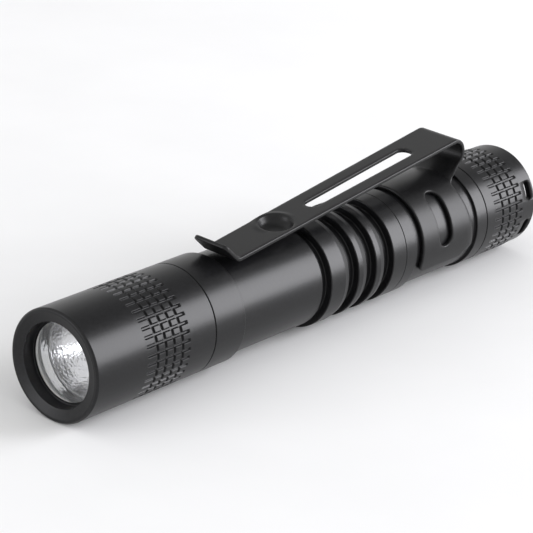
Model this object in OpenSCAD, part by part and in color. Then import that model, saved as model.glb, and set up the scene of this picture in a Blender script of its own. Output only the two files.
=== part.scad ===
// Pocket pen light for one slim cylindrical cell, with a knurled head and tail and a spring clip.
// Every piece is drawn in a turning frame: z is the distance behind the front rim, x points to the clip.
// placed() then lays the light down with its head towards +X and its clip on top.

/* [Overall] */
// Front rim to tail rim
overall_length = 89; // [86:0.5:96]
// Diameter of the head, the grip rings and the tail cap
stock_d = 14.5; // [14.2:0.1:16]
// Diameter of the plain grip between the collar and the rings
grip_d = 13.4; // [13:0.1:13.8]
// Gap at the two joints that unscrew
seam_gap = 0.12; // [0.08:0.01:0.2]

/* [Cell] */
// Diameter of the cell
cell_d = 10.5; // [10.2:0.1:10.7]
// Length of the cell with its contact cap
cell_length = 44.5; // [43.6:0.1:45]
// Diameter of the contact cap
cell_cap_d = 3.8; // [3:0.1:5]

/* [Head] */
// Front rim to the seam behind the head
head_length = 20.9; // [20.5:0.1:23]
// Clear opening in front of the lens
window_d = 10.1; // [9.2:0.1:10.5]
// Width of the flat lip round the front
lip_w = 0.53; // [0.4:0.01:0.7]
// Width of the bevel inside the lip
bevel_w = 1.27; // [0.9:0.01:1.4]
// Depth of the bevel inside the lip
bevel_depth = 0.35; // [0.2:0.01:1.2]
// Depth of the flange that holds the lens
flange_depth = 2; // [1.6:0.1:2.2]
// Thickness of the lens
lens_t = 1; // [0.8:0.1:1.4]
// Length of the reflector
reflector_length = 5.7; // [5:0.1:5.8]
// Diameter of the light source's dome
dome_d = 2.5; // [2:0.1:3]

/* [Knurling] */
// Depth of the knurl grooves
knurl_depth = 0.25; // [0.15:0.01:0.32]
// Columns of pads round the head
head_columns = 40; // [30:1:44]
// Rows of pads on the head
head_rows = 5; // [3:1:6]
// Length of one row on the head
head_row = 1.47; // [1.3:0.01:1.7]
// Front rim to the front of the head's knurling
head_knurl_start = 8.65; // [7:0.05:9]
// Columns of pads round the tail cap
tail_columns = 38; // [30:1:44]
// Rows of pads on the tail cap
tail_rows = 4; // [2:1:4]
// Length of one row on the tail cap
tail_row = 1.62; // [1.2:0.01:1.65]

/* [Body] */
// Length of the collar behind the head
collar_length = 5.7; // [4:0.1:7]
// Depth of the grooves between the grip rings
ring_depth = 1; // [0.8:0.05:1.1]
// Width of the two narrow grip rings
ring_w = 1.9; // [1.5:0.1:2.4]
// Distance from one narrow ring to the next
ring_pitch = 3.7; // [3.3:0.1:3.8]
// Width of the front grip ring
front_ring_w = 3.8; // [2.5:0.1:4.5]
// Rear edge taper of the rings
ring_taper = 0.2; // [0.1:0.01:0.3]
// Pitch of both screw threads
thread_pitch = 0.75; // [0.6:0.01:0.8]

/* [Clip] */
// Thickness of the clip's steel
clip_t = 0.55; // [0.4:0.01:0.65]
// Width of the band round the body
band_w = 10; // [9:0.1:10.4]
// Half of the angle that the band wraps
band_half_angle = 114; // [100:1:125]
// Width of the slot in each side of the band
band_slot_w = 2.9; // [2:0.1:3.6]
// Width of the arm at the bend
arm_w = 6.5; // [6:0.05:7.4]
// Width of the arm at the tip
arm_tip_w = 5.6; // [5:0.05:6.4]
// Inside radius of the bend
bend_r = 1.7; // [1.4:0.05:2]
// Gap under the tip of the arm
tip_gap = 0.26; // [0.15:0.01:0.8]
// Width of the long slot in the arm
arm_slot_w = 2.1; // [1.2:0.05:2.2]
// Length of the long slot in the arm
arm_slot_length = 21.7; // [14:0.1:22]
// Radius of the pressed dimple
dimple_r = 2.35; // [1.8:0.05:2.45]

/* [Tail] */
// Length of the tail cap
tail_length = 11.5; // [11.3:0.1:13]
// Depth of the recess round the button
recess_depth = 2.8; // [2.4:0.1:3]
// Diameter of the button
button_d = 8; // [6.5:0.1:8.4]
// How far the button can be pressed
button_travel = 1.3; // [0.8:0.1:1.4]
// Width of the two lanyard slots
lanyard_slot_w = 1.2; // [0.8:0.1:1.3]
// Length of the two lanyard slots
lanyard_slot_length = 2.9; // [2:0.1:3.2]
// Angle between the two lanyard slots
lanyard_spread = 46; // [40:1:60]

/* [Hidden] */
$fn = 96;
stock_r = stock_d / 2;
grip_r = grip_d / 2;
cell_r = cell_d / 2;
window_r = window_d / 2;
button_r = button_d / 2;
// Flats that stand for an arc in a drawn side view
arc_steps = 24;
// Room beyond a face that a cutting shape reaches through
over = 1;
// Small step that keeps two faces from lying in each other
lap = 0.02;
// Clearances: turning fits, the cell in its tube, bonded joints, contacts that touch only when tightened
turn_fit = 0.04;
cell_fit = 0.15;
bond_fit = 0.02;
contact_gap = 0.1;
// Clearances inside the head and the tail: set-in parts, wires in their holes, the button in its hole
set_fit = 0.05;
wire_fit = 0.15;
button_fit = 0.05;

// Threaded spigots on both ends of the body and the plain bores that run on them
spigot_wall = 0.8;
bore_r = cell_r + cell_fit;
spigot_r = bore_r + spigot_wall;
socket_r = spigot_r + turn_fit;
spigot_length = 5.3;
thread_depth = 0.32;
thread_turns = 4;
thread_start = 2;
thread_lead_in = 0.05;
o_ring_start = 0.6;
o_ring_w = 1.1;
o_ring_floor = 0.32;
o_ring_floor_r = bore_r + o_ring_floor;
o_ring_fit = 0.03;

// Seams, edges and the stations of the three seams
seam_chamfer = 0.1;
edge = 0.22;
split_from_tail = 29.8;
split_z = overall_length - split_from_tail;
tail_seam = overall_length - tail_length;
collar_end = head_length + collar_length;

// First and last rows of pads, which stay open at their outer ends
knurl_first = 1.8;
knurl_last = 1.42;

// Head stack, front to back
lip_in_r = stock_r - lip_w;
well_r = lip_in_r - bevel_w;
flange_t = 0.3;
gasket_t = 0.3;
gasket_lip = 0.3;
gasket_z = flange_depth + flange_t;
lens_z = gasket_z + gasket_t;
reflector_z = lens_z + lens_t;
reflector_end = reflector_z + reflector_length;
stack_r = spigot_r;

// Seat of the lens: the share of the wall between the window and the outside that the lens reaches into
seat_share = 0.48;
lens_r = window_r + seat_share * (stock_r - window_r);
lens_bore_r = lens_r + turn_fit;

// Reflector: a curved cup with a rim behind the lens and a foot on the spacer
reflector_overlap = 0.2;
reflector_rim_r = window_r + reflector_overlap;
reflector_room = 0.6;
reflector_hole_r = dome_d / 2 + reflector_room;
reflector_wall = 0.35;
reflector_rim = 1.4;
reflector_foot = 2.2;
reflector_neck = 0.3;
// Cone at the mouth of the cup, from near the lens's edge to the curve
reflector_edge = 0.15;
mouth_r = lens_r - reflector_edge;
mouth_depth = mouth_r - reflector_rim_r;
// Floor of the cup round the hole, and how far its wall departs from a cone
reflector_floor_w = 0.9;
reflector_floor_r = reflector_hole_r + reflector_floor_w;
reflector_curve = 1.25;

// Light source, its board and the carrier that holds the driver
spacer_t = 1.3;
spacer_inset = 0.6;
package_w = 3.45;
package_t = 0.7;
package_fit = 0.1;
board_t = 1;
board_inset = 0.4;
board_z = reflector_end + spacer_t;
pill_z = board_z + board_t;
pill_shelf = 1.2;
pill_length = 3;
pill_wall = 1.3;
driver_from_shelf = 0.9;
driver_z = pill_z + pill_shelf + driver_from_shelf;
driver_t = 0.7;
driver_ledge = 0.5;
driver_r = stack_r - pill_wall + driver_ledge;
wire_r = 0.35;
wire_inset = 2.5;
wire_at = stack_r - wire_inset;
wire_end = 0.3;
driver_spring_r = 1.5;
driver_wire_r = 0.22;
driver_spring_turns = 3;

// Rings, counted forwards from the seam in the widest ring
wide_ring_front_w = 2.8;
wide_front = split_z - wide_ring_front_w;
ring_c = wide_front - ring_pitch;
ring_b = ring_c - ring_pitch;
front_ring_end = ring_b - (ring_pitch - ring_w);
front_ring = front_ring_end - front_ring_w;
grip_groove_w = 1.1;
grip_end = front_ring - grip_groove_w;
grip_edge = 0.15;
groove_r = stock_r - ring_depth;
land_share = 0.5;

// Rear sleeve: the joint inside the widest ring and the groove that the clip sits in
joint_step = 0.1;
joint_r = spigot_r - joint_step;
joint_length = 4;
wide_ring_rear_w = 2.3;
clip_groove_start = split_z + wide_ring_rear_w;
clip_groove_depth = 0.35;
clip_floor_r = stock_r - clip_groove_depth;
clip_groove_w = 13.6;
clip_groove_end = clip_groove_start + clip_groove_w;

// Clip: band, bend, arm and tip, with positions as [station, height]
band_from_ring = 1.15;
band_start = clip_groove_start + band_from_ring;
band_end = band_start + band_w;
band_in_r = clip_floor_r + turn_fit;
band_out_r = band_in_r + clip_t;
band_corner = 1.3;
band_slot_at = 59.5;
band_slot_length = 7.55;
bend_mid_r = bend_r + clip_t / 2;
bend_from_ring = 12.2;
bend_lift = 1.08;
bend = [clip_groove_start + bend_from_ring, band_out_r + bend_r + bend_lift];
split_angle = 0.9;
root_lap = 0.5;
root = [band_end - root_lap, band_in_r + clip_t / 2];
pad_length = 0.8;
root_from_bend = bend - root;
root_angle = atan2(root_from_bend.y, root_from_bend.x) - asin(bend_mid_r / norm(root_from_bend));
tip_from_collar = 2.4;
tip = [collar_end + tip_from_collar, grip_r + tip_gap + clip_t / 2];
tip_from_bend = bend - tip;
arm_angle = atan2(tip_from_bend.y, tip_from_bend.x) + asin(bend_mid_r / norm(tip_from_bend));
// How far the arm stands to one side at its tip
arm_lean = 1.02;
lean_angle = atan2(arm_lean, tip_from_bend.x);
flick_r = 1.2;
flick_angle = 48;
flick_length = 3.15;
flick_corner = 0.5;
dimple_from_tip = 9.9;
dimple_at = tip + dimple_from_tip * [cos(arm_angle), sin(arm_angle)];
dimple_gap = 0.35;
dimple_depth = dimple_at.y - clip_t / 2 - grip_r - dimple_gap;
dimple_ball_r = (pow(dimple_r, 2) + pow(dimple_depth, 2)) / (2 * dimple_depth);
slot_from_tip = 16.3;

// Tail cap: knurled wall, skirt, recess and end wall
recess_floor = overall_length - recess_depth;
end_wall = 1.2;
cap_floor = recess_floor - end_wall;
skirt_step = 0.1;
skirt_length = 3.1;
skirt_z = overall_length - skirt_length;
recess_r = socket_r;
lanyard_from_rim = 1.45;

// Switch, from its flange forwards
switch_flange = 1;
switch_flange_z = cap_floor - switch_flange;
switch_ring_t = 0.85;
switch_ring_z = switch_flange_z - switch_ring_t;
switch_inset = 0.35;
switch_r = cell_r - switch_inset;
switch_ring_fit = 0.1;
notch_w = 1;
notch_depth = 0.6;
switch_length = 12;
switch_front = cap_floor - switch_length;
switch_board_t = 0.8;
switch_board_z = switch_front - switch_board_t;
tail_spring_r = 3.4;
tail_wire_r = 0.3;
tail_spring_turns = 5;

// Cell, between the contact springs of the driver and the switch, which share the room that it leaves
tail_spring_extra = 2.1;
spring_room = switch_board_z - driver_z - driver_t - cell_length - 2 * contact_gap;
driver_spring_h = (spring_room - tail_spring_extra) / 2;
cell_front = driver_z + driver_t + driver_spring_h + contact_gap;
cell_end = cell_front + cell_length;
cell_cap_h = 1;
cell_body_front = cell_front + cell_cap_h;
cell_seal_t = 0.3;
cell_seal_inset = 0.8;
cell_seal_gap = 0.3;

// Button with its flange behind the end wall and the plunger under it
button_flange_t = 0.8;
button_flange_end = cap_floor - button_fit;
button_flange_z = button_flange_end - button_flange_t;
button_flange_w = 0.35;
button_flange_r = button_r + button_flange_w;
button_room_fit = 0.1;
button_room_r = button_flange_r + button_room_fit;
button_spare = 0.25;
button_room_z = button_flange_z - button_travel - button_spare;
button_below_rim = 0.8;
button_edge = 0.6;
plunger_r = 1.95;
plunger_length = 6;
plunger_room_z = button_flange_z - plunger_length - button_travel - button_spare;

// Lays the turned frame down: its z runs towards the tail and its x points up
module placed() {
    translate([overall_length / 2, 0, stock_r]) rotate([0, -90, 0]) children();
}

// A plain ring or, with no inner radius, a disc
module ring(z, length, outer, inner = 0) {
    rotate_extrude() translate([inner, z]) square([outer - inner, length]);
}

// A slice of a circle, drawn flat, between two angles less than 180 degrees apart
module slice(from, to, reach) {
    middle = (from + to) / 2;
    far = reach / cos((to - from) / 2);
    polygon([
        [0, 0], reach * [cos(from), sin(from)], far * [cos(middle), sin(middle)], reach * [cos(to), sin(to)]
    ]);
}

// A drawn side view, with station across and height up, given a width
module side_view(width) {
    rotate([-90, -90, 0]) linear_extrude(width, center = true) children();
}

// A drawn top view, with station across and side up, cut through the whole height
module top_view(height) {
    rotate([0, -90, 0]) linear_extrude(height, center = true) children();
}

// Points along an arc, drawn flat
function arc(centre, radius, from, to) = [
    for (i = [0 : arc_steps])
        let(a = from + (to - from) * i / arc_steps)
        centre + radius * [cos(a), sin(a)]
];

// A slot with round ends along the first axis, drawn flat
module round_slot(length, width) {
    square([length - width, width], center = true);
    for (end = [-1, 1]) translate([end * (length - width) / 2, 0]) circle(width / 2);
}

// Length of a knurled stretch
function knurl_length(rows, row) = knurl_first + (rows - 2) * row + knurl_last;

// Crossed grooves: rings between the rows and straight grooves along every column
module knurl_grooves(start, rows, row, columns) {
    for (i = [0 : rows - 2]) {
        middle = start + knurl_first + i * row;
        rotate_extrude() polygon([
            [stock_r - knurl_depth, middle],
            [stock_r + over, middle - knurl_depth - over],
            [stock_r + over, middle + knurl_depth + over]
        ]);
    }
    side = knurl_depth * sqrt(2);
    for (i = [0 : columns - 1]) rotate([0, 0, i * 360 / columns])
        translate([stock_r, 0, start]) rotate([0, 0, 45])
            translate([-side / 2, -side / 2, 0]) cube([side, side, knurl_length(rows, row)]);
}

// Outline of a spigot from its free end to its shoulder, as [radius, distance from the shoulder]
function thread_outline() = [
    for (i = [0 : thread_turns - 1], step = [0, 0.25, 0.5, 0.75])
        [
            spigot_r - (step < 0.5 ? thread_depth : 0),
            thread_start + (i + step) * thread_pitch
        ]
];
function spigot_outline() = concat(
    [
        [spigot_r, 0], [spigot_r, o_ring_start], [o_ring_floor_r, o_ring_start],
        [o_ring_floor_r, o_ring_start + o_ring_w], [spigot_r, o_ring_start + o_ring_w],
        [spigot_r, thread_start - thread_lead_in]
    ],
    thread_outline(),
    [
        [spigot_r - thread_depth, thread_start + thread_turns * thread_pitch],
        [spigot_r - thread_depth, spigot_length], [bore_r, spigot_length]
    ]
);

// One unbroken coil of wire as a tube with six sides, wound flat for part of a turn at each end
coil_flat = 0.35;
coil_steps = 12;
coil_sides = 6;
function coil_rise(t, turns) = max(0, min(1, (t - coil_flat) / (turns - 2 * coil_flat)));
function coil_point(i, j, radius, wire, z0, z1, turns) =
    let(
        a = 360 * i / coil_steps,
        b = 60 * j,
        half = wire * sin(60),
        r = radius + wire * cos(b),
        z = z0 + half + (z1 - z0 - 2 * half) * coil_rise(i / coil_steps, turns) + wire * sin(b)
    )
    [r * cos(a), r * sin(a), z];
module coil(radius, wire, z0, z1, turns) {
    steps = turns * coil_steps;
    points = [
        for (i = [0 : steps], j = [0 : coil_sides - 1]) coil_point(i, j, radius, wire, z0, z1, turns)
    ];
    walls = [
        for (i = [0 : steps - 1], j = [0 : coil_sides - 1], half = [0, 1])
            let(
                a = i * coil_sides + j,
                b = i * coil_sides + (j + 1) % coil_sides,
                c = a + coil_sides,
                d = b + coil_sides
            )
            half == 0 ? [a, b, d] : [a, d, c]
    ];
    last = steps * coil_sides;
    ends = [
        for (j = [1 : coil_sides - 2], end = [0, 1])
            end == 0 ? [0, j + 1, j] : [last, last + j, last + j + 1]
    ];
    polyhedron(points, concat(walls, ends));
}

// Head

module head_shell() {
    color("dimgray") placed() difference() {
        rotate_extrude() polygon([
            [window_r, flange_depth], [well_r, flange_depth], [well_r, bevel_depth], [lip_in_r, 0],
            [stock_r - edge, 0], [stock_r, edge], [stock_r, head_length - seam_chamfer],
            [stock_r - seam_chamfer, head_length], [socket_r, head_length], [socket_r, reflector_end],
            [lens_bore_r, reflector_end], [lens_bore_r, gasket_z], [window_r + gasket_lip, gasket_z]
        ]);
        knurl_grooves(head_knurl_start, head_rows, head_row, head_columns);
    }
}

module lens_gasket() {
    color("white") placed() ring(gasket_z, gasket_t, lens_r, window_r + gasket_lip);
}

module lens() {
    color("lightcyan") placed() ring(lens_z, lens_t, lens_r);
}

// Cup with a curved inside, open at the front through a short cone, with a thin rim that meets the lens
module reflector() {
    steps = 12;
    deep = reflector_length - reflector_neck - mouth_depth;
    inside = [
        for (i = [0 : steps])
            let(r = reflector_rim_r + (reflector_hole_r - reflector_rim_r) * i / steps)
            let(rise = max(0, r - reflector_floor_r) / (reflector_rim_r - reflector_floor_r))
            [r, reflector_z + mouth_depth + deep * (1 - pow(rise, reflector_curve))]
    ];
    color("silver") placed() rotate_extrude() polygon(concat([[mouth_r, reflector_z]], inside, [
        [reflector_hole_r, reflector_end], [reflector_hole_r + reflector_foot, reflector_end],
        [reflector_rim_r + reflector_wall, reflector_z + reflector_rim],
        [lens_r, reflector_z + reflector_rim], [lens_r, reflector_z]
    ]));
}

module led_spacer() {
    color("white") placed() difference() {
        ring(reflector_end, spacer_t, stack_r - spacer_inset);
        translate([0, 0, reflector_end - over])
            linear_extrude(spacer_t + 2 * over) square(package_w + 2 * package_fit, center = true);
        for (side = [-1, 1]) translate([0, side * wire_at, reflector_end - over])
            cylinder(r = wire_r + wire_fit, h = spacer_t + 2 * over);
    }
}

module led_package() {
    color("ivory") placed() translate([0, 0, board_z - package_t / 2])
        cube([package_w, package_w, package_t], center = true);
}

module led_dome() {
    color("gold") placed() translate([0, 0, board_z - package_t]) difference() {
        sphere(dome_d / 2);
        translate([0, 0, dome_d]) cube(2 * dome_d, center = true);
    }
}

module led_board() {
    color("white") placed() difference() {
        ring(board_z, board_t, stack_r - board_inset);
        for (side = [-1, 1]) translate([0, side * wire_at, board_z - over])
            cylinder(r = wire_r + wire_fit, h = board_t + 2 * over);
    }
}

// Brass carrier: a shelf under the light source's board and a stepped well for the driver behind it
module pill() {
    color("goldenrod") placed() difference() {
        ring(pill_z, pill_length, stack_r);
        ring(pill_z + pill_shelf, pill_length, stack_r - pill_wall);
        ring(driver_z, pill_length, driver_r + set_fit);
        for (side = [-1, 1]) translate([0, side * wire_at, pill_z - over])
            cylinder(r = wire_r + wire_fit, h = pill_shelf + 2 * over);
    }
}

module led_wires() {
    color("firebrick") placed() for (side = [-1, 1]) translate([0, side * wire_at, board_z - wire_end])
        cylinder(r = wire_r, h = driver_z - board_z + wire_end);
}

module driver_board() {
    color("darkgreen") placed() ring(driver_z, driver_t, driver_r);
}

// Coil, controller and two small parts on the front of the driver board, as [x, y, long, wide, high]
module driver_parts() {
    parts = [
        [-1.4, 0, 2.6, 2.6, 0.8], [1.5, 0.9, 1.8, 1.6, 0.6],
        [1.6, -1.1, 1.6, 0.8, 0.5], [3.3, 0, 0.8, 1.6, 0.5]
    ];
    color("dimgray") placed() for (part = parts) translate([part[0], part[1], driver_z - part[4]])
        linear_extrude(part[4]) square([part[2], part[3]], center = true);
}

module driver_spring() {
    color("gold") placed() coil(
        driver_spring_r, driver_wire_r, driver_z + driver_t, cell_front - contact_gap, driver_spring_turns
    );
}

// Body

module front_o_ring() {
    color("darkred") placed() ring(
        head_length + seam_gap - o_ring_start - o_ring_w + o_ring_fit, o_ring_w - 2 * o_ring_fit,
        socket_r - o_ring_fit, o_ring_floor_r + o_ring_fit
    );
}

// Threaded front spigot, collar, plain grip and grip rings, with a plain spigot for the rear sleeve
module body_tube() {
    shoulder = head_length + seam_gap;
    front = [for (p = spigot_outline()) [p.x, shoulder - p.y]];
    front_back = [for (i = [len(front) - 1 : -1 : 0]) front[i]];
    rings = [
        for (at = [[front_ring, front_ring_w], [ring_b, ring_w], [ring_c, ring_w]]) each [
            [groove_r, at[0]], [stock_r, at[0]], [stock_r, at[0] + at[1] - ring_w * (1 - land_share)],
            [stock_r - ring_taper, at[0] + at[1]], [groove_r, at[0] + at[1]]
        ]
    ];
    color("dimgray") placed() rotate_extrude() polygon(concat(
        front_back,
        [
            [stock_r - seam_chamfer, shoulder], [stock_r, shoulder + seam_chamfer],
            [stock_r, collar_end - edge], [stock_r - edge, collar_end], [grip_r, collar_end],
            [grip_r, grip_end - grip_edge], [grip_r - grip_edge, grip_end], [groove_r, grip_end]
        ],
        rings,
        [
            [groove_r, wide_front], [stock_r, wide_front], [stock_r, split_z - seam_chamfer],
            [stock_r - seam_chamfer, split_z], [joint_r, split_z], [joint_r, split_z + joint_length],
            [bore_r, split_z + joint_length]
        ]
    ));
}

// Back of the widest ring, the clip groove, the rear ring and the threaded rear spigot
module rear_sleeve() {
    shoulder = tail_seam - seam_gap;
    spigot = [for (p = spigot_outline()) [p.x, shoulder + p.y]];
    socket_end = split_z + joint_length + bond_fit;
    color("dimgray") placed() rotate_extrude() polygon(concat(
        [
            [joint_r + bond_fit, split_z], [stock_r - seam_chamfer, split_z],
            [stock_r, split_z + seam_chamfer],
            [stock_r, clip_groove_start], [clip_floor_r, clip_groove_start],
            [clip_floor_r, clip_groove_end], [stock_r, clip_groove_end],
            [stock_r, shoulder - seam_chamfer], [stock_r - seam_chamfer, shoulder]
        ],
        spigot,
        [[bore_r, socket_end], [joint_r + bond_fit, socket_end]]
    ));
}

module cell_can() {
    color("slategray") placed() ring(cell_body_front, cell_end - cell_body_front, cell_r);
}

module cell_cap() {
    color("silver") placed() ring(cell_front, cell_cap_h, cell_cap_d / 2);
}

module cell_seal() {
    color("white") placed() ring(
        cell_body_front - cell_seal_t, cell_seal_t, cell_r - cell_seal_inset, cell_cap_d / 2 + cell_seal_gap
    );
}

// Clip

// Open band with a long slot in each side, and the tongue on top of it that starts the bend
module clip_band() {
    up = clip_t / 2 * [-sin(root_angle), cos(root_angle)];
    color("black") placed() difference() {
        union() {
            ring(band_start, band_w, band_out_r);
            side_view(arm_w) {
                translate([band_end - pad_length, 0]) square([pad_length - lap, band_out_r + lap]);
                polygon(concat(
                    [root + up, root - up],
                    arc(bend, bend_r + clip_t, root_angle - 90, -split_angle),
                    arc(bend, bend_r, -split_angle, root_angle - 90)
                ));
            }
        }
        cylinder(r = band_in_r, h = overall_length);
        translate([0, 0, band_start - over]) linear_extrude(band_w + 2 * over)
            rotate(180) slice(band_half_angle - 180, 180 - band_half_angle, 2 * stock_r);
        for (side = [-1, 1]) {
            rotate([0, 0, side * band_slot_at]) translate([0, 0, band_start + band_w / 2])
                rotate([90, 0, 90]) linear_extrude(2 * stock_r) round_slot(band_slot_length, band_slot_w);
            band_corners(side);
        }
    }
}

// Rounds the two corners at one end of the band
module band_corners(side) {
    turn = asin(band_corner / band_out_r);
    rotate([0, 0, side * (band_half_angle - turn)]) translate([0, 0, band_start + band_w / 2])
        rotate([90, 0, 90]) linear_extrude(2 * stock_r)
            for (end = [0, 1]) mirror([side > 0 ? 0 : 1, 0]) mirror([0, end])
                translate([0, band_w / 2 - band_corner]) difference() {
                    square([2 * band_corner, band_corner + over]);
                    translate([0, lap]) circle(band_corner);
                }
}

// Middle of the bend that flicks the tip up, the angle at which that bend ends, and the tip's end
function arm_up() = [-sin(arm_angle), cos(arm_angle)];
function flick_middle() = tip + flick_r * arm_up();
function flick_stop() = arm_angle - 90 - flick_angle;
function flick_end(r) = flick_middle() + r * [cos(flick_stop()), sin(flick_stop())]
    + flick_length * [sin(flick_stop()), -cos(flick_stop())];

// How far the arm stands to one side at a station
function lean(station) = max(0, arm_lean * (bend.x - station) / tip_from_bend.x);

// Rest of the bend, the tapered arm with its slot and pressed dimple, and the flicked tip
module clip_arm() {
    flick = flick_middle();
    ball = dimple_at + (clip_t / 2 + dimple_ball_r - dimple_depth) * arm_up();
    dimple_side = lean(dimple_at.x);
    color("black") placed() difference() {
        union() {
            intersection() {
                side_view(2 * arm_w) polygon(concat(
                    arc(bend, bend_r + clip_t, split_angle, arm_angle + 90),
                    arc(flick, flick_r - clip_t / 2, arm_angle - 90, flick_stop()),
                    [flick_end(flick_r - clip_t / 2), flick_end(flick_r + clip_t / 2)],
                    arc(flick, flick_r + clip_t / 2, flick_stop(), arm_angle - 90),
                    arc(bend, bend_r, arm_angle + 90, split_angle)
                ));
                arm_outline();
            }
            translate([0, dimple_side, 0]) intersection() {
                translate([ball.y, 0, ball.x]) sphere(dimple_ball_r + clip_t);
                side_view(3 * dimple_r) translate(tip) rotate(arm_angle)
                    translate([dimple_from_tip - 2 * dimple_r, -2 * dimple_r])
                        square([4 * dimple_r, 2 * dimple_r]);
            }
        }
        translate([ball.y, dimple_side, ball.x]) sphere(dimple_ball_r);
        translate([bend.y, 0, bend.x]) top_view(2 * bend.y) rotate(-lean_angle)
            translate([slot_from_tip + arm_slot_length / 2 - tip_from_bend.x, 0])
                round_slot(arm_slot_length, arm_slot_w);
    }
}

// Tapered outline of the arm from above, with the corners of the tip cut off
module arm_outline() {
    nose = flick_end(flick_r).x;
    half = [
        [bend.x + 2 * bend_mid_r, arm_w / 2], [bend.x, arm_w / 2], [tip.x, arm_tip_w / 2],
        [nose + flick_corner, arm_tip_w / 2], [nose - over, arm_tip_w / 2 - flick_corner]
    ];
    near_side = [for (p = half) [p.x, lean(p.x) + p.y]];
    far_side = [for (i = [len(half) - 1 : -1 : 0]) [half[i].x, lean(half[i].x) - half[i].y]];
    translate([bend.y, 0, 0]) top_view(4 * bend.y) polygon(concat(near_side, far_side));
}

// Tail

module rear_o_ring() {
    color("darkred") placed() ring(
        tail_seam - seam_gap + o_ring_start + o_ring_fit, o_ring_w - 2 * o_ring_fit,
        socket_r - o_ring_fit, o_ring_floor_r + o_ring_fit
    );
}

// Knurled cap with a recessed end wall for the button and two lanyard slots in its skirt
module tail_cap() {
    skirt_r = stock_r - skirt_step;
    knurl_start = skirt_z - skirt_step - knurl_length(tail_rows, tail_row);
    color("dimgray") placed() difference() {
        rotate_extrude() polygon([
            [socket_r, tail_seam], [stock_r - seam_chamfer, tail_seam], [stock_r, tail_seam + seam_chamfer],
            [stock_r, skirt_z], [skirt_r, skirt_z], [skirt_r, overall_length - edge],
            [skirt_r - edge, overall_length], [recess_r + edge, overall_length],
            [recess_r, overall_length - edge], [recess_r, recess_floor],
            [button_r + button_fit, recess_floor], [button_r + button_fit, cap_floor], [socket_r, cap_floor]
        ]);
        knurl_grooves(knurl_start, tail_rows, tail_row, tail_columns);
        for (side = [-1, 1]) rotate([0, 0, 90 + side * lanyard_spread / 2])
            translate([recess_r - over, 0, overall_length - lanyard_from_rim]) rotate([90, 0, 90])
                linear_extrude(stock_r) round_slot(lanyard_slot_length, lanyard_slot_w);
    }
}

// Threaded ring that clamps the switch, with two notches for a pin spanner
module switch_ring() {
    color("goldenrod") placed() difference() {
        ring(switch_ring_z, switch_ring_t, spigot_r, switch_r + switch_ring_fit);
        for (side = [-1, 1]) translate([side * spigot_r, 0, switch_ring_z])
            cube([2 * notch_depth, notch_w, switch_ring_t], center = true);
    }
}

module switch_housing() {
    color("darkslategray") placed() difference() {
        union() {
            ring(switch_front, cap_floor - switch_front, switch_r);
            ring(switch_flange_z, switch_flange, spigot_r);
        }
        ring(button_room_z, cap_floor - button_room_z + over, button_room_r);
        ring(plunger_room_z, cap_floor - plunger_room_z, plunger_r + button_fit);
    }
}

module switch_board() {
    color("darkgreen") placed() ring(switch_board_z, switch_board_t, switch_r);
}

module tail_spring() {
    color("gold") placed() coil(
        tail_spring_r, tail_wire_r, cell_end + contact_gap, switch_board_z, tail_spring_turns
    );
}

module tail_button() {
    top = overall_length - button_below_rim;
    color("black") placed() rotate_extrude() polygon([
        [0, button_flange_z], [button_flange_r, button_flange_z], [button_flange_r, button_flange_end],
        [button_r, button_flange_end], [button_r, top - button_edge],
        [button_r - button_edge, top], [0, top]
    ]);
}

module switch_plunger() {
    color("white") placed() ring(button_flange_z - plunger_length, plunger_length, plunger_r);
}

head_shell();
lens_gasket();
lens();
reflector();
led_spacer();
led_package();
led_dome();
led_board();
pill();
led_wires();
driver_board();
driver_parts();
driver_spring();
front_o_ring();
body_tube();
rear_sleeve();
cell_can();
cell_cap();
cell_seal();
clip_band();
clip_arm();
rear_o_ring();
tail_cap();
switch_ring();
switch_housing();
switch_board();
tail_spring();
tail_button();
switch_plunger();
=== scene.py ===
import math

import bpy
import bmesh
import numpy as np
from mathutils import Matrix, Vector, noise
from mathutils.geometry import delaunay_2d_cdt


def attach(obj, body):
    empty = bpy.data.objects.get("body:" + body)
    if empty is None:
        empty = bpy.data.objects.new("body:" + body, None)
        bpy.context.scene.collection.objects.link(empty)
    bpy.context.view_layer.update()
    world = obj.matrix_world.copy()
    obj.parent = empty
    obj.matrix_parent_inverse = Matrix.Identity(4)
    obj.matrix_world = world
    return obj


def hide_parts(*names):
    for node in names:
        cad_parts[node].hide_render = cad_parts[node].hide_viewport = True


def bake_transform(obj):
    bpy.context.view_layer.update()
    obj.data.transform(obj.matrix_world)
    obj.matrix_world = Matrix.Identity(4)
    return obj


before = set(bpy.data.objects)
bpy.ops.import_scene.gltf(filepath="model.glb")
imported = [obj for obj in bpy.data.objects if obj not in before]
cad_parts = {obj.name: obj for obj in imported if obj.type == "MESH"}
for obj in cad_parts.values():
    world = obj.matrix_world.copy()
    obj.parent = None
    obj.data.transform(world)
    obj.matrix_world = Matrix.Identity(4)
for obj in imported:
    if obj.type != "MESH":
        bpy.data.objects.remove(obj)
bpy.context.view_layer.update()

# Sizes are in millimetres and are those of the solids. A station counts from the front rim towards the tail.
MM = 0.001
TURN = 2 * math.pi
LENGTH = 89.0
STOCK_R = 7.25
BORE_R = 5.4
SPIGOT_R = 6.2
SOCKET_R = 6.24
SEAM_BREAK = 0.06

# How outlines are drawn: steps in a rounded corner, the share of a wall that a rounding may take, the distance from
# a wall's end at which a point holds the shading flat, and the radius at which an open outline stops
ARC_STEPS = 5
ROUNDING_SHARE = 0.45
SUPPORT = 0.03
HUB_R = 0.05
# Below these, a corner counts as straight, two radii as the same, and a mark as too near a wall's end
STRAIGHT = 1e-4
SAME = 1e-6
END_SHARE = 0.01


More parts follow.
